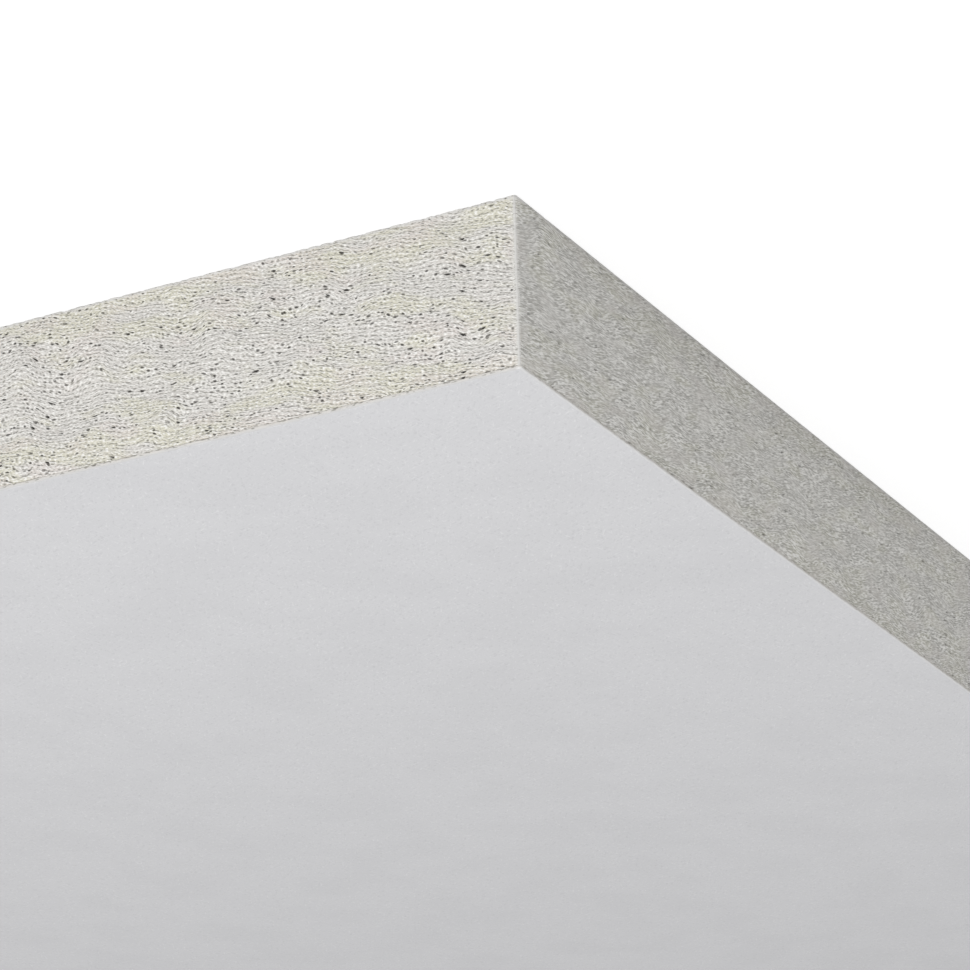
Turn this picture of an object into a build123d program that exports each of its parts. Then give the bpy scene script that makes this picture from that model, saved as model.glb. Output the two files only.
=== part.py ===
from build123d import *
import os

# An acoustic ceiling panel: a board felted wet from mineral fibre, with plain square-cut
# edges, and a sheet of painted glass-fibre tissue bonded over its finished face.
# It lies flat with the finished face up. +Z is up, the edges run along X and Y, and the
# origin is the middle of the back face. Every size is in millimetres.

# The ceiling grid that the panel lies in
module_x = 600.0
module_y = 600.0
lay_in_clearance = 6.0  # each side is cut this much under the grid's module

# The panel
panel_thickness = 19.0  # the board and the tissue together
tissue_thickness = 0.4
corner_radius = 0.5  # the four upright corners, eased by the saw and by handling
back_arris_radius = 0.3  # the worn edge round the back of the board
face_arris_radius = 0.2  # the paint rolled over the edge round the finished face

panel_x = module_x - lay_in_clearance
panel_y = module_y - lay_in_clearance
board_thickness = panel_thickness - tissue_thickness


def panel_outline():
    """The plan of the panel: a square-cut rectangle with barely eased corners."""
    return RectangleRounded(panel_x, panel_y, corner_radius)


def mineral_core():
    """The felted board, from the back face up to the tissue."""
    board = extrude(panel_outline(), board_thickness)
    back_edges = board.faces().sort_by(Axis.Z)[0].edges()
    return fillet(back_edges, back_arris_radius)


def face_veil():
    """The painted tissue, bonded on top of the board and trimmed flush with its edges."""
    tissue = extrude(Pos(0, 0, board_thickness) * panel_outline(), tissue_thickness)
    face_edges = tissue.faces().sort_by(Axis.Z)[-1].edges()
    return fillet(face_edges, face_arris_radius)


pieces = {
    "mineral_core": mineral_core(),
    "face_veil": face_veil(),
}

os.makedirs("parts", exist_ok=True)
for name, piece in pieces.items():
    piece.label = name
    export_step(piece, f"parts/{name}.step")
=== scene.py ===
import math

import bpy
import numpy as np
from mathutils import Matrix, Vector


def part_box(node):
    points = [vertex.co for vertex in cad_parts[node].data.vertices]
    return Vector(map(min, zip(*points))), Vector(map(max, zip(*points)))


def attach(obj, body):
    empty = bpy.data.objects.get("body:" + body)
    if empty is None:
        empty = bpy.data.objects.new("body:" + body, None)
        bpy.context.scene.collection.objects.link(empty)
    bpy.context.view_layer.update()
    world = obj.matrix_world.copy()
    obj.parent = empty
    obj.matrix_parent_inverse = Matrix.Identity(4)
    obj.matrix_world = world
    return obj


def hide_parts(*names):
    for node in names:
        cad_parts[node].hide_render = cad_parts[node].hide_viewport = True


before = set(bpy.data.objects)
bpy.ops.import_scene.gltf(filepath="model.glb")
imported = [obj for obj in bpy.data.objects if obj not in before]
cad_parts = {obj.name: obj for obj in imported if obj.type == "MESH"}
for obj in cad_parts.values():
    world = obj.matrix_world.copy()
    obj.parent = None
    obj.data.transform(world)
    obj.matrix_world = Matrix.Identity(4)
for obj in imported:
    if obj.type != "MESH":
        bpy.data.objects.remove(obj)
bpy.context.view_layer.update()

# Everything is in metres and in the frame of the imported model: the panel lies on its back,
# finished face up. Patterns are written in millimetres, the size at which felt is seen.
MM = 0.001

CORE_LOW, CORE_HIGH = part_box("mineral_core")
VEIL_LOW, VEIL_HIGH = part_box("face_veil")
PHOTO_CORNER = Vector((VEIL_LOW[0], VEIL_LOW[1], VEIL_HIGH[2]))

# Where the patterns end, in millimetres
HALF_SIDE = (CORE_HIGH[0] - CORE_LOW[0]) / 2 / MM
BOARD_TOP = CORE_HIGH[2] / MM

# The camera, measured from the photographed corner of the finished face. The photograph shows
# the panel hung face down, so the camera looks down on the face and is turned upside down.
CAMERA_FROM_CORNER = Vector((-151.55, -298.03, 143.10)) * MM
CAMERA_HEADING = 27.619  # degrees from +Y towards +X
CAMERA_DIP = 21.374  # degrees below the horizon
CAMERA_ROLL = 178.389
CAMERA_LENS = 137.28  # millimetres, as is the sensor's width
CAMERA_SENSOR = 36.0
CAMERA_NEAREST = 10 * MM

# The light and the floor
SKY_LEVEL = 0.55
KEY_FROM_CORNER = Vector((0.06, -0.42, 0.46))
KEY_SIZE = 0.42
KEY_WATTS = 2.3
FLOOR_REACH = 12.0
FLOOR_BOUNCE = (0.8, 0.8, 0.8, 1.0)  # as the panel sees it
FLOOR_SHADOWED = (0.22, 0.22, 0.22, 1.0)  # the part of its white that shadows can darken
FLOOR_GLOW = 0.86  # the part that they can't
WHITE = (1.0, 1.0, 1.0, 1.0)

# The saw-cut skin of the board, modelled as four bars round a plain body
SKIN_DEPTH = 1.5 * MM
CORNER_RADIUS = 0.36 * MM
CORNER_STEPS = 5  # in each half of an eased corner
ARRIS_RADIUS = 0.22 * MM
ARRIS_STEPS = 4  # round the back arris, and round the tissue's
UNDER_STEPS = 5  # on the strip of the back face that a bar carries
ROW_HEIGHT = 0.15 * MM
COARSE_STEP = 1.5 * MM  # column width where only whole views show the edge

# Each side of the board: the piece's name, the turn from the front, the stretches at its start
# and end that the photograph looks at closely, and the column width there
SIDES = (
    ("cut_edge_front", 0, 68 * MM, 0.0, 0.18 * MM),
    ("cut_edge_right", 90, 0.0, 0.0, COARSE_STEP),
    ("cut_edge_back", 180, 0.0, 0.0, COARSE_STEP),
    ("cut_edge_left", 270, 0.0, 128 * MM, 0.30 * MM),
)

# The tissue over the face
FACE_ARRIS_RADIUS = 0.2 * MM
TRIM_ROWS = 3  # up its trimmed side
RIM_ROWS = (0.25 * MM, 0.30 * MM)  # how far in the rim's last rows lie: less than CORNER_RADIUS
RIM_OPENNESS = (0.5, 0.0)  # how far the carving may go on those rows

# The picture maps
MAP_ROWS = 5  # the long strip is folded into this many rows of its picture map
MAP_GAP = 0.03  # of a row, left clear above and below it
HIDDEN_BAND = 0.05  # of the map, for the faces that never show
HIDDEN_ROWS = 2  # of such faces along a bar
CAP_PLACE = (0.2, 0.5)  # of that band: where a bar's ends start, and how far they reach
UNDERSIDE_PLACE = (0.1, 0.8)  # the same for the tissue's underside


class Graph:
    """Short forms for the nodes that a material and a geometry tree share."""

    def __init__(self, tree):
        self.tree = tree

    def node(self, kind, *values, **settings):
        made = self.tree.nodes.new(kind)
        for name, value in settings.items():
            setattr(made, name, value)
        for socket, value in zip(made.inputs, values):
            self.feed(socket, value)
        return made

    def feed(self, socket, value):
        if isinstance(value, bpy.types.NodeSocket):
            self.tree.links.new(value, socket)
        else:
            socket.default_value = value

    def math(self, operation, a, b=0.0):
        return self.node("ShaderNodeMath", a, b, operation=operation).outputs[0]

    def add(self, a, b):
        return self.math("ADD", a, b)

    def less(self, a, b):
        return self.math("SUBTRACT", a, b)

    def multiply(self, a, b):
        return self.math("MULTIPLY", a, b)

    def most(self, a, b):
        return self.math("MAXIMUM", a, b)

    def size(self, a):
        return self.math("ABSOLUTE", a)

    def blend(self, amount, a, b):
        """a where the amount is 0, b where it is 1."""
        return self.add(a, self.multiply(amount, self.less(b, a)))

    def step(self, value, low, high):
        """0 below low, 1 above high, smooth between. low may be above high."""
        if low < high:
            ends = (low, high, 0.0, 1.0)
        else:
            ends = (high, low, 1.0, 0.0)
        made = self.node("ShaderNodeMapRange", value, *ends, interpolation_type="SMOOTHSTEP")
        return made.outputs[0]

    def stretch(self, place, grain):
        """The place divided by the grain's size along each axis."""
        scale = [1 / size for size in grain]
        return self.node("ShaderNodeVectorMath", place, scale, operation="MULTIPLY").outputs[0]

    def shift(self, place, by):
        return self.node("ShaderNodeVectorMath", place, by, operation="ADD").outputs[0]

    def turn(self, place, degrees):
        """The place turned about the upright axis."""
        made = self.node("ShaderNodeVectorRotate", place, rotation_type="Z_AXIS")
        made.inputs["Angle"].default_value = math.radians(degrees)
        return made.outputs[0]

    def upright(self, height):
        """A vector of that height."""
        return self.node("ShaderNodeCombineXYZ", 0.0, 0.0, height).outputs[0]

    def axes(self, place):
        return self.node("ShaderNodeSeparateXYZ", place).outputs

    def random(self, place, detail, roughness=0.5):
        made = self.node("ShaderNodeTexNoise", place)
        made.inputs["Scale"].default_value = 1.0
        made.inputs["Detail"].default_value = detail
        made.inputs["Roughness"].default_value = roughness
        return made.outputs

    def noise(self, place, grain, detail=0.0, roughness=0.5):
        """Smooth random values about NOISE_MIDDLE, in lumps of the grain's size."""
        return self.random(self.stretch(place, grain), detail, roughness)[0]

    def fray(self, place, amount):
        """The place moved about at random by up to half of the amount."""
        colour = self.random(place, detail=0.0)["Color"]
        moved = self.node("ShaderNodeVectorMath", colour, operation="SCALE")
        moved.inputs["Scale"].default_value = amount
        return self.shift(place, moved.outputs[0])

    def cells(self, place):
        """Distance to the nearest of scattered points, and a random number for each point."""
        made = self.node("ShaderNodeTexVoronoi", place)
        made.inputs["Scale"].default_value = 1.0
        return made.outputs["Distance"], self.axes(made.outputs["Color"])[0]


# The felt's layers, in millimetres: how far one lies above the next, how steeply they lean
# against the face, and how far they sway, ripple and drift over which distances
LAYER_PITCH = 0.45
LEAN_ALONG_X = 0.17
LEAN_ALONG_Y = 0.17
SWAY_SIZE = (11.0, 16.0, 7.0)
SWAY_RISE = 2.2
RIPPLE_SIZE = (4.8, 8.0, 6.0)
RIPPLE_RISE = 1.9
DRIFT_SIZE = (2.6, 3.0, 1.1)
DRIFT_TURN = 14.0  # radians of the layers' wave

# What the felt holds: its sizes along X, Y and Z, in millimetres
OPEN_SIZE = (5.0, 7.0, 0.9)  # stretches where the felt is open
TUFT_SIZE = (0.38, 0.66, 0.12)
CUT_TUFT_SIZE = (0.34, 0.78, 0.088)
PIT_SPACING = (0.74, 1.2, 0.37)
PORE_SPACING = (2.0, 2.6, 0.66)
LUMP_SIZE = (0.5, 0.5, 0.3)
CRUMB_SIZE = (1.4, 1.4, 1.4)
TRIM_SIZE = (1.2, 1.2, 0.6)

# How far each pattern is moved before it is drawn, so that no two are alike
DRIFT_APART = (4.0, 9.0, 2.0)
PORE_APART = (2.0, 1.0, 7.0)
PINK_APART = (3.0, 11.0, 40.0)
MOTTLE_APART = (9.0, 9.0, 0.0)
FLECK_APART = 3.0

# Pits and pores, in shares of their spacing: each pair runs from where a form starts to where
# it is in full
PIT_REACH = (0.33, 0.16)
PIT_RIM_INSIDE = (0.36, 0.44)
PIT_RIM_OUTSIDE = (0.62, 0.50)
PORE_REACH = (0.20, 0.10)
PIT_FRAY = 0.6
PORE_FRAY = 0.5

# Which pits and pores are there: each has a random chance, raised where the felt is open
NOISE_MIDDLE = 0.5
CROWDING = 1.6
PIT_CHANCE = (0.15, 1.15)
PORE_CHANCE = (0.60, 0.80)
PITS_IN_ROWS = 0.22  # how much the grooves draw the pits

# How deep the relief goes, in millimetres
GROOVE_DEPTH = 0.04
PORE_DEPTH = 0.28
LUMP_DEPTH = 0.03
TRIM_DEPTH = 0.08
TRIM_RANGE = (0.35, 0.75)  # of its noise: from whole to most ragged
CRUMB_RANGE = (0.42, 0.75)  # the same, for the crumbled back arris
FELT_BUMP = 0.12
TISSUE_BUMP = 0.05

# How both materials shine: hardly at all
FELT_ROUGHNESS = 0.95
TISSUE_ROUGHNESS = 0.75
SPECULAR = 0.2

# Where things lie, in millimetres in from a side or above the back face: each pair runs from
# where a thing starts to where it is in full
CROSS_CUT_IN = (0.8, 0.3)
PRESSED_FROM_X_SIDES = (0.5, 0.25)
PRESSED_FROM_Y_SIDES = (0.24, 0.06)
PRESSED_BACK_IN = (0.9, 0.4)
PRESSED_BACK_HEIGHT = (0.7, 0.2)
WORN_HEIGHT = (0.8, 0.0)
EDGE_LIGHT_LINE_IN = (0.35, 0.1)
FELT_ON_TISSUE = (BOARD_TOP + 0.25, BOARD_TOP)  # the felt's relief, on the tissue's side
RAW_ON_TISSUE = (BOARD_TOP + 0.40, BOARD_TOP + 0.30)  # its colour there

# How much of a thing there is on the sides cut along the felt, and on those cut across it
RELIEF_SHARE = (1.0, 0.7)
CRUMBLE_DEPTH = (0.22, 0.0)  # millimetres
TUFT_CONTRAST = (0.97, 1.63)
LAYER_CONTRAST = (0.125, 0.055)
# The pale and dim shares set the grain's painted highlight and painted shade, the pit and pore
# shares the painted shade in pits and pores
PALE_SHARE = (0.92, 0.98)
DIM_SHARE = (0.78, 0.46)
PIT_SHARE = (0.90, 0.18)
PORE_SHARE = (0.95, 0.35)
GRAIN_HEIGHT = (1.3, 0.6)
# TISSUE_GAP_SHARE: how much painted shade the gaps on the tissue's raw side get
TISSUE_GAP_SHARE = (0.7, 0.25)

# How much is left of a thing away from pressed or smeared felt, and on it
PRESSED_RELIEF = (1.0, 0.3)
PRESSED_GRAIN = (1.0, 0.2)
SMEARED_GRAIN = (1.0, 0.55)

# How far the back arris counts as pressed, where the upright corners count in full
PRESSED_BACK_SHARE = 0.8


def bent_place(g, place):
    """The place with the felt's layers flattened out: they lean a little, sway and dip."""
    x, y, _ = g.axes(place)
    lean = g.add(g.multiply(x, LEAN_ALONG_X), g.multiply(y, LEAN_ALONG_Y))
    sway = g.multiply(g.noise(place, SWAY_SIZE, detail=1.0), SWAY_RISE)
    ripple = g.multiply(g.noise(place, RIPPLE_SIZE, detail=1.0), RIPPLE_RISE)
    return g.shift(place, g.upright(g.add(lean, g.add(sway, ripple))))


def near_side(g, reach, start, full):
    """1 where the distance from the panel's middle is nearly a side's, 0 further in."""
    return g.step(reach, HALF_SIDE - start, HALF_SIDE - full)


def edge_nearness(g, place, start, full):
    """1 where the place is on the panel's sides, 0 further in."""
    x, y, _ = g.axes(place)
    return near_side(g, g.most(g.size(x), g.size(y)), start, full)


def handled(g, place):
    """Where handling has pressed the felt smooth, and its colour takes a lighter painted highlight:
    the upright corners and the back arris.
    """
    x, y, z = g.axes(place)
    corner = g.multiply(
        near_side(g, g.size(x), *PRESSED_FROM_X_SIDES),
        near_side(g, g.size(y), *PRESSED_FROM_Y_SIDES),
    )
    back = g.multiply(g.step(z, *PRESSED_BACK_HEIGHT), edge_nearness(g, place, *PRESSED_BACK_IN))
    return g.most(corner, g.multiply(back, PRESSED_BACK_SHARE))


def cross_cut(g, place):
    """The two sides that the saw cuts across the felt, which it leaves smoother."""
    x, _, _ = g.axes(place)
    return near_side(g, g.size(x), *CROSS_CUT_IN)


def crowding(g, bent):
    """How open the felt is, above or below 0: pores crowd in some layers, and run out
    sideways."""
    openness = g.noise(bent, OPEN_SIZE, detail=1.0)
    return g.multiply(g.less(openness, NOISE_MIDDLE), CROWDING)


def layer_wave(g, bent):
    """The felt's thin layers, which join and part: 1 on a ridge of fibre, -1 in a groove."""
    _, _, height = g.axes(bent)
    climb = g.multiply(height, 2 * math.pi / LAYER_PITCH)
    drift = g.noise(g.shift(bent, DRIFT_APART), DRIFT_SIZE, detail=1.0)
    return g.math("SINE", g.add(climb, g.multiply(drift, DRIFT_TURN)))


def strokes(g, bent, cross):
    """Short tufts of fibre along the bedding: above 0 where they stand out, below it between.
    They are finer where the saw cuts across the felt."""
    tufts = g.blend(cross, g.noise(bent, TUFT_SIZE), g.noise(bent, CUT_TUFT_SIZE))
    return g.less(tufts, NOISE_MIDDLE)


def pits(g, bent, crowd, wave):
    """Small pits between the fibres, in rows along the grooves: 1 in the middle of a deep one,
    and 1 on a ring round it, which carries a painted highlight."""
    distance, chance = g.cells(g.fray(g.stretch(bent, PIT_SPACING), PIT_FRAY))
    room = g.less(crowd, g.multiply(wave, PITS_IN_ROWS))
    depth = g.step(g.add(chance, room), *PIT_CHANCE)
    rim = g.multiply(g.step(distance, *PIT_RIM_INSIDE), g.step(distance, *PIT_RIM_OUTSIDE))
    return g.multiply(g.step(distance, *PIT_REACH), depth), g.multiply(rim, depth)


def pores(g, bent, crowd):
    """Pores: 1 in the middle of a pore. They are flat, and crowd where the felt is open."""
    place = g.stretch(g.shift(bent, PORE_APART), PORE_SPACING)
    distance, chance = g.cells(g.fray(place, PORE_FRAY))
    there = g.step(g.add(chance, crowd), *PORE_CHANCE)
    return g.multiply(g.step(distance, *PORE_REACH), there)


def felt_relief(g, place):
    """How deep the sawn felt lies below its finished plane, in millimetres."""
    bent = bent_place(g, place)
    grooves = g.multiply(g.less(1.0, layer_wave(g, bent)), GROOVE_DEPTH / 2)
    holes = g.multiply(pores(g, bent, crowding(g, bent)), PORE_DEPTH)
    lumps = g.multiply(g.noise(place, LUMP_SIZE, detail=1.0), LUMP_DEPTH)
    depth = g.add(g.add(grooves, holes), lumps)
    depth = g.multiply(depth, g.blend(cross_cut(g, place), *RELIEF_SHARE))
    return g.multiply(depth, g.blend(handled(g, place), *PRESSED_RELIEF))


def arris_wear(g, place):
    """How much more the back arris has crumbled, in millimetres."""
    _, _, z = g.axes(place)
    crumbs = g.noise(place, CRUMB_SIZE, detail=3.0, roughness=0.6)
    worn = g.multiply(g.step(z, *WORN_HEIGHT), g.step(crumbs, *CRUMB_RANGE))
    return g.multiply(worn, g.blend(cross_cut(g, place), *CRUMBLE_DEPTH))


def board_relief(g, place):
    return g.add(felt_relief(g, place), arris_wear(g, place))


def tissue_relief(g, place):
    """How ragged the tissue's trimmed edge is, in millimetres: below the paint it is felt."""
    _, _, z = g.axes(place)
    ragged = g.step(g.noise(place, TRIM_SIZE, detail=3.0, roughness=0.6), *TRIM_RANGE)
    below = g.multiply(g.step(z, *FELT_ON_TISSUE), felt_relief(g, place))
    return g.add(g.multiply(ragged, TRIM_DEPTH), below)


def new_material(name):
    made = bpy.data.materials.new(name)
    made.use_nodes = True
    made.node_tree.nodes.clear()
    return made, Graph(made.node_tree)


def finish_material(g, colour, bump_height, bump_mm, roughness):
    shader = g.node("ShaderNodeBsdfPrincipled")
    g.feed(shader.inputs["Base Color"], colour)
    shader.inputs["Roughness"].default_value = roughness
    shader.inputs["Specular IOR Level"].default_value = SPECULAR
    bump = g.node("ShaderNodeBump")
    bump.inputs["Strength"].default_value = 1.0
    bump.inputs["Distance"].default_value = bump_mm * MM
    g.feed(bump.inputs["Height"], bump_height)
    g.feed(shader.inputs["Normal"], bump.outputs[0])
    g.node("ShaderNodeOutputMaterial", shader.outputs[0])


# The sockets that a colour Mix node uses
MIX_AMOUNT, MIX_FIRST, MIX_SECOND, MIX_RESULT = 0, 6, 7, 2


def mix_colour(g, amount, a, b):
    made = g.node("ShaderNodeMix", data_type="RGBA")
    g.feed(made.inputs[MIX_AMOUNT], amount)
    g.feed(made.inputs[MIX_FIRST], a)
    g.feed(made.inputs[MIX_SECOND], b)
    return made.outputs[MIX_RESULT]


def stored_place(g):
    """The place in the panel's frame that each piece carries, in millimetres."""
    return g.node("ShaderNodeAttribute", attribute_name="place_mm").outputs["Vector"]


WHITE_FELT = (0.69, 0.67, 0.64, 1.0)
CREAM_FELT = (0.69, 0.67, 0.56, 1.0)
PINK_FELT = (0.71, 0.655, 0.62, 1.0)
SAWN_FELT = (0.67, 0.67, 0.64, 1.0)
# Lighter felt: a painted highlight along the rounded upright corners and the back arris
PRESSED_HIGHLIGHT_FELT = (0.70, 0.69, 0.67, 1.0)
# Dark grey: faint grey clouds on cross-cut felt, and painted shade in the gaps between tufts and
# fibres
GREY_AND_GAP_SHADE_FELT = (0.27, 0.26, 0.23, 1.0)
# Pale fibre, which also carries the painted highlights on the tufts and round the pits
FIBRE_AND_HIGHLIGHT_FELT = (0.95, 0.94, 0.91, 1.0)
# Painted shade, nearly black, inside pits and pores
PIT_AND_PORE_SHADE = (0.05, 0.045, 0.04, 1.0)

# The felt's broad patches: their size in millimetres, the stretch of their noise over which
# they come in, and how strong they get
CREAM_SIZE = (8.0, 8.0, 2.6)
CREAM_RANGE = (0.54, 0.72)
CREAM_SHARE = 0.9
PINK_SIZE = (6.0, 6.0, 2.0)
PINK_RANGE = (0.62, 0.80)
PINK_SHARE = 0.6
CLOUD_RANGE = (0.50, 0.32)  # of the cream patches' noise
CLOUD_SHARE = 0.06
SAWN_SHARE = 0.5
OUTER_TINT = 0.021  # more of both tints for each millimetre from the board's middle layer

# The felt's fine grain: the stretches over which each part comes in, and how strong it gets.
# The pale grain is partly a painted highlight, the rings round the pits are painted highlights,
# and the dim grain is painted shade.
PRESSED_RANGE = (0.3, 0.8)
PRESSED_RAGGED = 1.2  # how much the tufts fray the pressed strips
SMEARED_RANGE = (0.40, 0.70)
PALE_RANGE = (0.02, 0.28)
DIM_RANGE = (-0.06, -0.30)
PIT_RIM_HIGHLIGHT_SHARE = 0.6
DARK_HEIGHT = 1.2  # of a pit or pore in the bump, beside GRAIN_HEIGHT


def felt_tint(g, place, bent, cross, blush):
    """The felt's broad colour: cream and pinkish patches, stronger towards the back and the
    face, and greyer, faintly clouded felt where the saw cuts across it."""
    _, _, z = g.axes(place)
    outer = g.multiply(g.size(g.less(z, BOARD_TOP / 2)), OUTER_TINT)
    patch = g.noise(bent, CREAM_SIZE, detail=2.0)
    cream = g.multiply(g.step(g.add(patch, outer), *CREAM_RANGE), CREAM_SHARE)
    pink = g.multiply(g.step(g.add(blush, outer), *PINK_RANGE), PINK_SHARE)
    cloud = g.multiply(g.step(patch, *CLOUD_RANGE), g.multiply(cross, CLOUD_SHARE))
    colour = mix_colour(g, cream, WHITE_FELT, CREAM_FELT)
    colour = mix_colour(g, pink, colour, PINK_FELT)
    colour = mix_colour(g, g.multiply(cross, SAWN_SHARE), colour, SAWN_FELT)
    return mix_colour(g, cloud, colour, GREY_AND_GAP_SHADE_FELT)


def felt_colour(g, place):
    """The colour of the raw felt and the height of its fine grain: pale tufts, partly a painted
    highlight, with painted highlight rings round the pits, painted shade in the dim gaps between
    the tufts and in the dark pits and pores, and a lighter painted highlight on pressed felt, all
    calmer where the felt is pressed or smeared."""
    bent = bent_place(g, place)
    crowd = crowding(g, bent)
    wave = layer_wave(g, bent)
    cross = cross_cut(g, place)
    tufts = strokes(g, bent, cross)
    blush = g.noise(g.shift(bent, PINK_APART), PINK_SIZE, detail=1.0)
    frayed = g.add(handled(g, place), g.multiply(tufts, PRESSED_RAGGED))
    pressed = g.step(frayed, *PRESSED_RANGE)
    smeared = g.multiply(g.step(blush, *SMEARED_RANGE), cross)
    calm = g.multiply(g.blend(smeared, *SMEARED_GRAIN), g.blend(pressed, *PRESSED_GRAIN))

    tufts = g.multiply(tufts, g.blend(cross, *TUFT_CONTRAST))
    layers = g.multiply(wave, g.blend(cross, *LAYER_CONTRAST))
    grain = g.add(tufts, layers)
    pit, rim = pits(g, bent, crowd, wave)
    pit = g.multiply(pit, g.blend(cross, *PIT_SHARE))
    hole = g.multiply(pores(g, bent, crowd), g.blend(cross, *PORE_SHARE))
    # dark: where pits and pores take painted shade in the colour, and sink in the bump
    dark = g.most(pit, hole)
    # pale: pale fibre tufts, partly a painted highlight, and a painted highlight ring round each
    # pit
    pale = g.multiply(g.step(grain, *PALE_RANGE), g.blend(cross, *PALE_SHARE))
    pale = g.add(pale, g.multiply(rim, PIT_RIM_HIGHLIGHT_SHARE))
    # dim: painted shade in the gaps between the tufts
    dim = g.multiply(g.step(grain, *DIM_RANGE), g.blend(cross, *DIM_SHARE))

    # a lighter painted highlight on the pressed corners and back arris
    colour = mix_colour(g, pressed, felt_tint(g, place, bent, cross, blush), PRESSED_HIGHLIGHT_FELT)
    colour = mix_colour(g, g.multiply(pale, calm), colour, FIBRE_AND_HIGHLIGHT_FELT)
    # painted shade in the gaps between the tufts
    colour = mix_colour(g, g.multiply(dim, calm), colour, GREY_AND_GAP_SHADE_FELT)
    colour = mix_colour(g, g.multiply(dark, calm), colour, PIT_AND_PORE_SHADE)

    raised = g.multiply(grain, g.blend(cross, *GRAIN_HEIGHT))
    height = g.less(raised, g.multiply(dark, DARK_HEIGHT))
    return colour, g.multiply(height, calm)


def felt_material():
    made, g = new_material("mineral_felt")
    colour, height = felt_colour(g, stored_place(g))
    finish_material(g, colour, height, FELT_BUMP, FELT_ROUGHNESS)
    return made


TISSUE_WHITE = (0.70, 0.70, 0.715, 1.0)
TISSUE_LIGHT = (0.86, 0.86, 0.87, 1.0)
TISSUE_DARK = (0.56, 0.56, 0.575, 1.0)
# The line round the face: a painted highlight on the sides cut across the felt, painted shade on
# the others
EDGE_HIGHLIGHT = (0.80, 0.795, 0.785, 1.0)
SHADED_EDGE = (0.60, 0.59, 0.575, 1.0)

# The tissue's fibres lie three ways, in degrees. Where one way stands out there is a light
# fleck, and where all three are low a dark one.
FLECK_WAYS = (-62, -25, -100)
FLECK_SIZE = (1.1, 0.28, 0.28)
LIGHT_RANGE = (0.63, 0.79)
LIGHT_SHARE = 0.50
DARK_RANGE = (1.38, 1.08)  # of the three together
DARK_SHARE = 0.35
FLECK_HEIGHT = 0.3  # in the bump
MOTTLE_SIZE = (9.0, 12.0, 12.0)
MOTTLE_RANGE = (0.38, 0.66)
MOTTLE_SHARE = 0.12
EDGE_LIGHT_LINE_SHARE = 0.8

# The tissue's raw side, in millimetres: how its paint frays, and the gaps between its fibres, which
# carry painted shade
FRAYED_SIZE = (0.7, 0.7, 0.7)
FRAYED_HEIGHT = 0.16
GAP_SIZE = (0.6, 0.6, 0.25)
GAP_RANGE = (0.46, 0.34)  # of their noise


def flecks(g, place, degrees):
    """Short fibres that lie one way: above 0.5 on a light one, below it on a dark one."""
    turned = g.turn(g.shift(place, (degrees, FLECK_APART, 0.0)), degrees)
    return g.noise(turned, FLECK_SIZE, detail=1.0)


def tissue_side_and_edge_light(g, place, cross, colour):
    """The tissue's colour with a line round its face, painted highlight on the sides cut across the
    felt and painted shade on the others, and raw below the paint, with painted shade in its gaps.
    """
    # painted highlight on the sides cut across the felt, painted shade on the others
    edge = mix_colour(g, cross, SHADED_EDGE, EDGE_HIGHLIGHT)
    line = g.multiply(edge_nearness(g, place, *EDGE_LIGHT_LINE_IN), EDGE_LIGHT_LINE_SHARE)
    colour = mix_colour(g, line, colour, edge)
    _, _, z = g.axes(place)
    frayed = g.multiply(g.noise(place, FRAYED_SIZE), FRAYED_HEIGHT)
    raw = g.step(g.add(z, frayed), *RAW_ON_TISSUE)
    # painted shade in the gaps between the raw side's fibres, a dark band under the face's arris
    gaps = g.step(g.noise(place, GAP_SIZE), *GAP_RANGE)
    gaps = g.multiply(gaps, g.blend(cross, *TISSUE_GAP_SHARE))
    return mix_colour(g, raw, colour, mix_colour(g, gaps, WHITE_FELT, GREY_AND_GAP_SHADE_FELT))


def tissue_material():
    """Matt white paint on glass-fibre tissue: faint mottling and short light and dark fibres,
    with a line round the edge, painted highlight on two sides and painted shade on the other two,
    over the raw side."""
    made, g = new_material("painted_tissue")
    place = stored_place(g)
    one, two, three = [flecks(g, place, degrees) for degrees in FLECK_WAYS]
    light = g.step(g.most(g.most(one, two), three), *LIGHT_RANGE)
    dark = g.step(g.add(g.add(one, two), three), *DARK_RANGE)
    mottle = g.noise(g.shift(place, MOTTLE_APART), MOTTLE_SIZE, detail=2.0)
    mottle = g.multiply(g.step(mottle, *MOTTLE_RANGE), MOTTLE_SHARE)
    colour = mix_colour(g, g.multiply(light, LIGHT_SHARE), TISSUE_WHITE, TISSUE_LIGHT)
    colour = mix_colour(g, g.multiply(dark, DARK_SHARE), colour, TISSUE_DARK)
    colour = mix_colour(g, mottle, colour, TISSUE_DARK)
    colour = tissue_side_and_edge_light(g, place, cross_cut(g, place), colour)
    height = g.multiply(g.less(light, dark), FLECK_HEIGHT)
    finish_material(g, colour, height, TISSUE_BUMP, TISSUE_ROUGHNESS)
    return made


def columns_along(half, near_start, near_end, fine_step):
    """Places along one side, close together near the photographed corner."""
    places = [-half]
    while places[-1] < half:
        here = places[-1]
        near = here + half < near_start or half - here < near_end
        places.append(here + (fine_step if near else COARSE_STEP))
    places[-1] = half
    return np.array(places)


def side_plan(half, near_start, near_end, fine_step):
    """The outline of one side, from mitre to mitre round its two eased corners: the place of
    each column, and the way out of the board there."""
    turn = np.linspace(math.pi / 4, 0, CORNER_STEPS + 1)[:-1]
    straight = columns_along(half - CORNER_RADIUS, near_start, near_end, fine_step)
    lean = np.concatenate([-turn, np.zeros(len(straight)), turn[::-1]])
    outward = np.stack([np.sin(lean), -np.cos(lean)], -1)
    first, last = np.full(CORNER_STEPS, straight[0]), np.full(CORNER_STEPS, straight[-1])
    along = np.concatenate([first, straight, last])
    centre = np.stack([along, np.full(len(along), CORNER_RADIUS - half)], -1)
    return centre + outward * CORNER_RADIUS, outward


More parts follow.
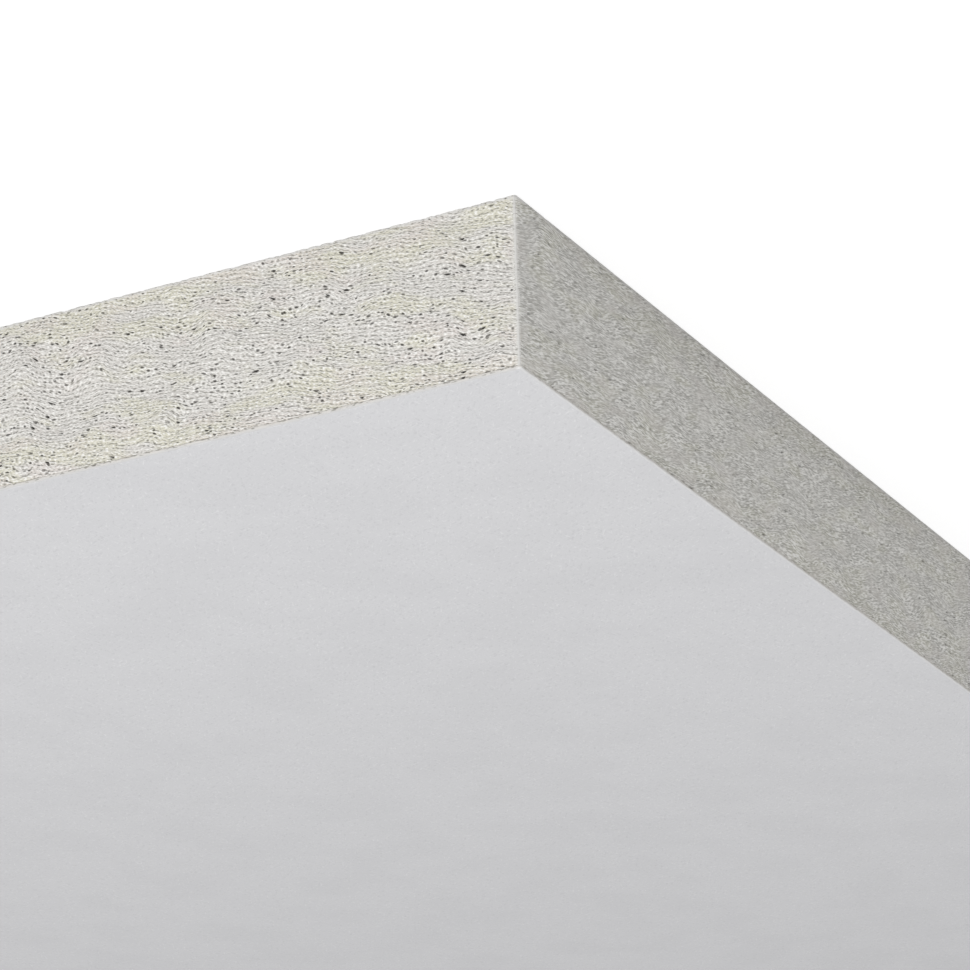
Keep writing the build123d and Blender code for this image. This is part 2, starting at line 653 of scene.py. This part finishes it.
def bar_section(top):
    """The section of a bar: the depth and height of each point, and how far it has turned from
    facing down to facing out. It goes out along the back face, round the back arris and up."""
    strip = np.linspace(SKIN_DEPTH, ARRIS_RADIUS, UNDER_STEPS + 1)[:-1]
    under = [(depth, 0.0, 0.0) for depth in strip]
    arris = []
    for turn in np.linspace(0, math.pi / 2, ARRIS_STEPS + 1):
        depth = ARRIS_RADIUS * (1 - math.sin(turn))
        arris.append((depth, ARRIS_RADIUS * (1 - math.cos(turn)), turn))
    rows = round((top - ARRIS_RADIUS) / ROW_HEIGHT)
    heights = np.linspace(ARRIS_RADIUS, top, rows + 1)[1:]
    face = [(0.0, height, math.pi / 2) for height in heights]
    return np.array(under + arris + face)


def ways_out(outward, lean):
    """The way out at each column and row: the column's own, tilted by the row's turn."""
    flat = outward[:, None] * np.sin(lean)[None, :, None]
    tilt = np.broadcast_to(-np.cos(lean)[None, :, None], flat.shape[:2] + (1,))
    return np.concatenate([flat, tilt], -1)


def quad_map(left, right, low, high):
    """Picture coordinates for the corners of quads[column, row] with these bounds."""
    u = np.broadcast_to(np.stack([left, right, right, left], -1)[:, None], low.shape + (4,))
    return np.stack([u, np.stack([low, low, high, high], -1)], -1)


def shares_along(run):
    """How far along each column lies, from 0 to 1."""
    return (run - run[0]) / (run[-1] - run[0])


def folded_map(run, across):
    """Picture coordinates for the quads of a long strip, folded into rows that fill the map."""
    share = shares_along(run)
    band = np.minimum((share[:-1] * MAP_ROWS).astype(int), MAP_ROWS - 1)
    first = np.searchsorted(band, np.arange(MAP_ROWS))
    start = share[first][band]
    width = share[np.append(first[1:], len(band))][band] - start
    climb = MAP_GAP + shares_along(across) * (1 - 2 * MAP_GAP)
    tall = (1 - HIDDEN_BAND) / MAP_ROWS
    low = (band[:, None] + climb[None, :-1]) * tall
    high = (band[:, None] + climb[None, 1:]) * tall
    return quad_map((share[:-1] - start) / width, (share[1:] - start) / width, low, high)


def hidden_map(run, rows):
    """Picture coordinates for the quads that never show, in the band left over."""
    share = shares_along(run)
    at = 1 - HIDDEN_BAND * np.linspace(1, 0, rows + 1)
    low = np.broadcast_to(at[None, :-1], (len(share) - 1, rows))
    high = np.broadcast_to(at[None, 1:], low.shape)
    return quad_map(share[:-1], share[1:], low, high)


def in_hidden_band(share, start, reach):
    """Heights on the map for a face that never shows."""
    return 1 - HIDDEN_BAND * (start + reach * share)


def keep_on_points(mesh, points, facing, openness):
    """Stores what the carving and the paint read: the place, the way out, and how far the
    carving may go."""
    for label, kind, field, values in (
        ("place_mm", "FLOAT_VECTOR", "vector", points / MM),
        ("facing_out", "FLOAT_VECTOR", "vector", facing),
        ("openness", "FLOAT", "value", np.broadcast_to(openness, points.shape[:-1])),
    ):
        stored = mesh.attributes.new(label, kind, "POINT")
        stored.data.foreach_set(field, values.astype(np.float32).ravel())


def keep_map(mesh, uv):
    mesh.uv_layers.new(name="OFBake").data.foreach_set("uv", uv.astype(np.float32).ravel())


def bar_mesh(name, points, facing, openness, maps, shown_rows):
    """A closed bar from points[column, row]."""
    columns, rows = points.shape[:2]
    index = np.arange(columns * rows).reshape(columns, rows)
    after = np.roll(index, -1, axis=1)
    quads = np.stack([index[:-1], index[1:], after[1:], after[:-1]], -1)
    ends = [index[0].tolist(), index[-1][::-1].tolist()]
    mesh = bpy.data.meshes.new(name)
    mesh.from_pydata(points.reshape(-1, 3).tolist(), [], quads.reshape(-1, 4).tolist() + ends)
    keep_on_points(mesh, points, facing, openness)
    cap = np.abs(np.concatenate([points[0, :, 1:], points[-1, ::-1, 1:]]) - points[0, 0, 1:])
    cap = in_hidden_band(cap / cap.max(), *CAP_PLACE)
    keep_map(mesh, np.concatenate([maps.reshape(-1, 2), cap]))
    smooth = np.zeros(quads.shape[:2], bool)
    smooth[:, :shown_rows] = True
    mesh.polygons.foreach_set("use_smooth", np.append(smooth.ravel(), [False, False]))
    return add_piece(name, mesh)


def turned_about_z(degrees):
    """The matrix that turns rows of points about the upright axis."""
    return np.array(Matrix.Rotation(math.radians(degrees), 3, "Z")).T


def cut_edge(name, turn, near_start, near_end, fine_step):
    """One sawn side of the board, as a bar that meets its neighbours on the mitre."""
    half = (CORE_HIGH[0] - CORE_LOW[0]) / 2
    top = CORE_HIGH[2] - CORE_LOW[2]
    plan, outward = side_plan(half, near_start, near_end, fine_step)
    depth, height, lean = bar_section(top).T

    # The skin, and the line inside the board that closes the bar
    skin = plan[:, None] - outward[:, None] * np.minimum(depth, ARRIS_RADIUS)[None, :, None]
    along = plan[:, 0] / half * (half - SKIN_DEPTH)
    inside = np.stack([along, np.full(len(plan), SKIN_DEPTH - half)], -1)
    inward = np.clip((depth - ARRIS_RADIUS) / (SKIN_DEPTH - ARRIS_RADIUS), 0, 1)[None, :, None]
    flat = np.concatenate([skin * (1 - inward) + inside[:, None] * inward, inside[:, None]], 1)
    tall = np.broadcast_to(np.append(height, top)[None, :, None], flat.shape[:2] + (1,))
    points = np.concatenate([flat, tall], -1)
    facing = np.concatenate([ways_out(outward, lean), np.zeros((len(plan), 1, 3))], 1)
    openness = np.append(1 - inward.ravel(), 0.0)

    spin = turned_about_z(turn)
    across = np.append(0, np.cumsum(np.hypot(np.diff(depth), np.diff(height))))
    shown = folded_map(plan[:, 0], across)
    maps = np.concatenate([shown, hidden_map(plan[:, 0], HIDDEN_ROWS)], 1)
    return bar_mesh(name, points @ spin, facing @ spin, openness, maps, len(depth) - 1)


def rim_plan(half):
    """The outline of all four sides as one loop, and the way out at each column."""
    loop = []
    for _, turn, near_start, near_end, fine_step in SIDES:
        plan, outward = side_plan(half, near_start, near_end, fine_step)
        spin = turned_about_z(turn)[:2, :2]
        loop.append(np.concatenate([plan[:-1] @ spin, outward[:-1] @ spin], -1))
    loop = np.concatenate(loop)
    return loop[:, :2], loop[:, 2:]


def tissue_section(thickness):
    """The section of the tissue's rim: the depth and height of each point, how far it has turned
    from facing down, and how far the carving may go. It goes up the side and over to the face."""
    heights = np.linspace(0, thickness - FACE_ARRIS_RADIUS, TRIM_ROWS)
    side = [(0.0, height, math.pi / 2, 1.0) for height in heights]
    arris = []
    for turn in np.linspace(math.pi / 2, math.pi, ARRIS_STEPS + 1)[1:]:
        depth = FACE_ARRIS_RADIUS * (1 - math.sin(turn))
        arris.append((depth, thickness - FACE_ARRIS_RADIUS * (1 + math.cos(turn)), turn, 1.0))
    inner = [(depth, thickness, math.pi, open_) for depth, open_ in zip(RIM_ROWS, RIM_OPENNESS)]
    return np.array(side + arris + inner)


def tissue_map(half, plan, outward, depth, height):
    """Picture coordinates for the rim's points, unrolled round the face, and for the underside."""
    unrolled = np.append(0, np.cumsum(np.hypot(np.diff(depth), np.diff(height))))
    skirt = depth[-1] - (unrolled[-1] - unrolled)
    reach = half + unrolled[-1]
    spread = plan[:, None] - outward[:, None] * skirt[None, :, None]
    shown = (spread / reach + 1) / 2 * (1, 1 - HIDDEN_BAND)
    below = (plan[::-1] / reach + 1) / 2
    below[:, 1] = in_hidden_band(below[:, 1], *UNDERSIDE_PLACE)
    return shown.reshape(-1, 2), below


def tissue_sheet():
    """The painted tissue: a closed sheet with a rim, a face and an underside."""
    half = (VEIL_HIGH[0] - VEIL_LOW[0]) / 2
    plan, outward = rim_plan(half)
    depth, height, lean, openness = tissue_section(VEIL_HIGH[2] - VEIL_LOW[2]).T
    columns, rows = len(plan), len(depth)
    flat = plan[:, None] - outward[:, None] * depth[None, :, None]
    tall = np.broadcast_to(height[None, :, None] + VEIL_LOW[2], (columns, rows, 1))
    points = np.concatenate([flat, tall], -1)

    index = np.arange(columns * rows).reshape(columns, rows)
    beside = np.roll(index, -1, axis=0)
    quads = np.stack([index[:, :-1], beside[:, :-1], beside[:, 1:], index[:, 1:]], -1)
    quads = quads.reshape(-1, 4)
    face, underside = index[:, -1], index[::-1, 0]
    faces = quads.tolist() + [face.tolist(), underside.tolist()]
    mesh = bpy.data.meshes.new("tissue_face")
    mesh.from_pydata(points.reshape(-1, 3).tolist(), [], faces)
    keep_on_points(mesh, points, ways_out(outward, lean), openness[None])
    shown, below = tissue_map(half, plan, outward, depth, height)
    keep_map(mesh, np.concatenate([shown[quads.ravel()], shown[face], below]))
    smooth = np.append(np.ones(len(quads), bool), [False, False])
    mesh.polygons.foreach_set("use_smooth", smooth)
    return add_piece("tissue_face", mesh)


def named_attribute(g, name, kind):
    made = g.node("GeometryNodeInputNamedAttribute", data_type=kind)
    made.inputs["Name"].default_value = name
    return made.outputs["Attribute"]


def carving(name, relief):
    """The geometry nodes that sink a relief into a piece."""
    tree = bpy.data.node_groups.new(name, "GeometryNodeTree")
    for way in ("INPUT", "OUTPUT"):
        tree.interface.new_socket("Geometry", in_out=way, socket_type="NodeSocketGeometry")
    g = Graph(tree)
    depth = relief(g, named_attribute(g, "place_mm", "FLOAT_VECTOR"))
    depth = g.multiply(depth, g.multiply(named_attribute(g, "openness", "FLOAT"), -MM))
    facing = named_attribute(g, "facing_out", "FLOAT_VECTOR")
    push = g.node("ShaderNodeVectorMath", facing, operation="SCALE")
    g.feed(push.inputs["Scale"], depth)
    move = g.node("GeometryNodeSetPosition")
    g.feed(move.inputs["Geometry"], g.node("NodeGroupInput").outputs[0])
    g.feed(move.inputs["Offset"], push.outputs[0])
    g.node("NodeGroupOutput", move.outputs[0])
    return tree


def carve(piece, tree):
    """Applies the carving, so that the piece holds its relief as a plain mesh."""
    modifier = piece.modifiers.new("carving", "NODES")
    modifier.node_group = tree
    depsgraph = bpy.context.evaluated_depsgraph_get()
    carved = piece.evaluated_get(depsgraph)
    mesh = bpy.data.meshes.new_from_object(carved, depsgraph=depsgraph)
    piece.modifiers.remove(modifier)
    piece.data = mesh


def board_body():
    """The board inside its cut skin, with the back face."""
    inset = Vector((SKIN_DEPTH, SKIN_DEPTH, 0))
    low, high = CORE_LOW + inset, CORE_HIGH - inset
    corners = [(x, y, z) for z in (low.z, high.z) for y in (low.y, high.y) for x in (low.x, high.x)]
    faces = [(0, 2, 3, 1), (4, 5, 7, 6), (0, 1, 5, 4), (2, 6, 7, 3), (0, 4, 6, 2), (1, 3, 7, 5)]
    mesh = bpy.data.meshes.new("board_body")
    mesh.from_pydata(corners, [], faces)
    stored = mesh.attributes.new("place_mm", "FLOAT_VECTOR", "POINT")
    stored.data.foreach_set("vector", (np.array(corners) / MM).astype(np.float32).ravel())
    return add_piece("board_body", mesh)


def add_piece(name, data):
    piece = bpy.data.objects.new(name, data)
    bpy.context.scene.collection.objects.link(piece)
    return piece


def settle(piece, material, node):
    """Paints a piece, attaches it to the root body and hides the part of the model that it stands
    in for.
    """
    piece.data.materials.append(material)
    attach(piece, "root")
    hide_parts(node)


def add_camera():
    data = bpy.data.cameras.new("camera")
    data.lens = CAMERA_LENS
    data.sensor_width = CAMERA_SENSOR
    data.clip_start = CAMERA_NEAREST
    camera = add_piece("camera", data)
    heading = Matrix.Rotation(math.radians(-CAMERA_HEADING), 4, "Z")
    dip = Matrix.Rotation(math.radians(90 - CAMERA_DIP), 4, "X")
    roll = Matrix.Rotation(math.radians(CAMERA_ROLL), 4, "Z")
    place = Matrix.Translation(PHOTO_CORNER + CAMERA_FROM_CORNER)
    camera.matrix_world = place @ heading @ dip @ roll
    bpy.context.scene.camera = camera


def seen_directly(g):
    """1 for rays that show a surface as itself: from the camera, a mirror or through glass."""
    path = g.node("ShaderNodeLightPath")
    seen = g.most(path.outputs["Is Camera Ray"], path.outputs["Is Glossy Ray"])
    return g.most(seen, path.outputs["Is Transmission Ray"])


def add_floor():
    """A pale floor, white where it is seen, that keeps the panel's shadow."""
    made, g = new_material("floor")
    lit = g.node("ShaderNodeBsdfDiffuse", FLOOR_BOUNCE)
    shadowed = g.node("ShaderNodeBsdfDiffuse", FLOOR_SHADOWED)
    glow = g.node("ShaderNodeEmission", WHITE, FLOOR_GLOW)
    shown = g.node("ShaderNodeAddShader", shadowed.outputs[0], glow.outputs[0])
    mixed = g.node("ShaderNodeMixShader", seen_directly(g), lit.outputs[0], shown.outputs[0])
    g.node("ShaderNodeOutputMaterial", mixed.outputs[0])
    mesh = bpy.data.meshes.new("floor")
    ways = [(-1, -1), (1, -1), (1, 1), (-1, 1)]
    mesh.from_pydata([(x * FLOOR_REACH, y * FLOOR_REACH, 0) for x, y in ways], [], [(0, 1, 2, 3)])
    mesh.materials.append(made)
    floor = add_piece("floor", mesh)


def add_light():
    """A soft white studio, and one large lamp to the side of the photographed corner."""
    world = bpy.data.worlds.new("studio")
    bpy.context.scene.world = world
    world.use_nodes = True
    world.node_tree.nodes.clear()
    g = Graph(world.node_tree)
    sky = g.node("ShaderNodeBackground", WHITE, SKY_LEVEL)
    white = g.node("ShaderNodeBackground", WHITE, 1.0)
    mixed = g.node("ShaderNodeMixShader", seen_directly(g), sky.outputs[0], white.outputs[0])
    g.node("ShaderNodeOutputWorld", mixed.outputs[0])
    lamp = bpy.data.lights.new("key", "AREA")
    lamp.shape = "DISK"
    lamp.size = KEY_SIZE
    lamp.energy = KEY_WATTS
    key = add_piece("key", lamp)
    key.location = PHOTO_CORNER + KEY_FROM_CORNER
    key.rotation_euler = (-KEY_FROM_CORNER).to_track_quat("-Z", "Y").to_euler()


add_camera()
add_light()
add_floor()

felt = felt_material()
board_carving = carving("board_carving", board_relief)
settle(board_body(), felt, "mineral_core")
for side in SIDES:
    bar = cut_edge(*side)
    carve(bar, board_carving)
    settle(bar, felt, "mineral_core")

sheet = tissue_sheet()
carve(sheet, carving("rim_carving", tissue_relief))
settle(sheet, tissue_material(), "face_veil")

bpy.context.scene.view_settings.view_transform = "Standard"
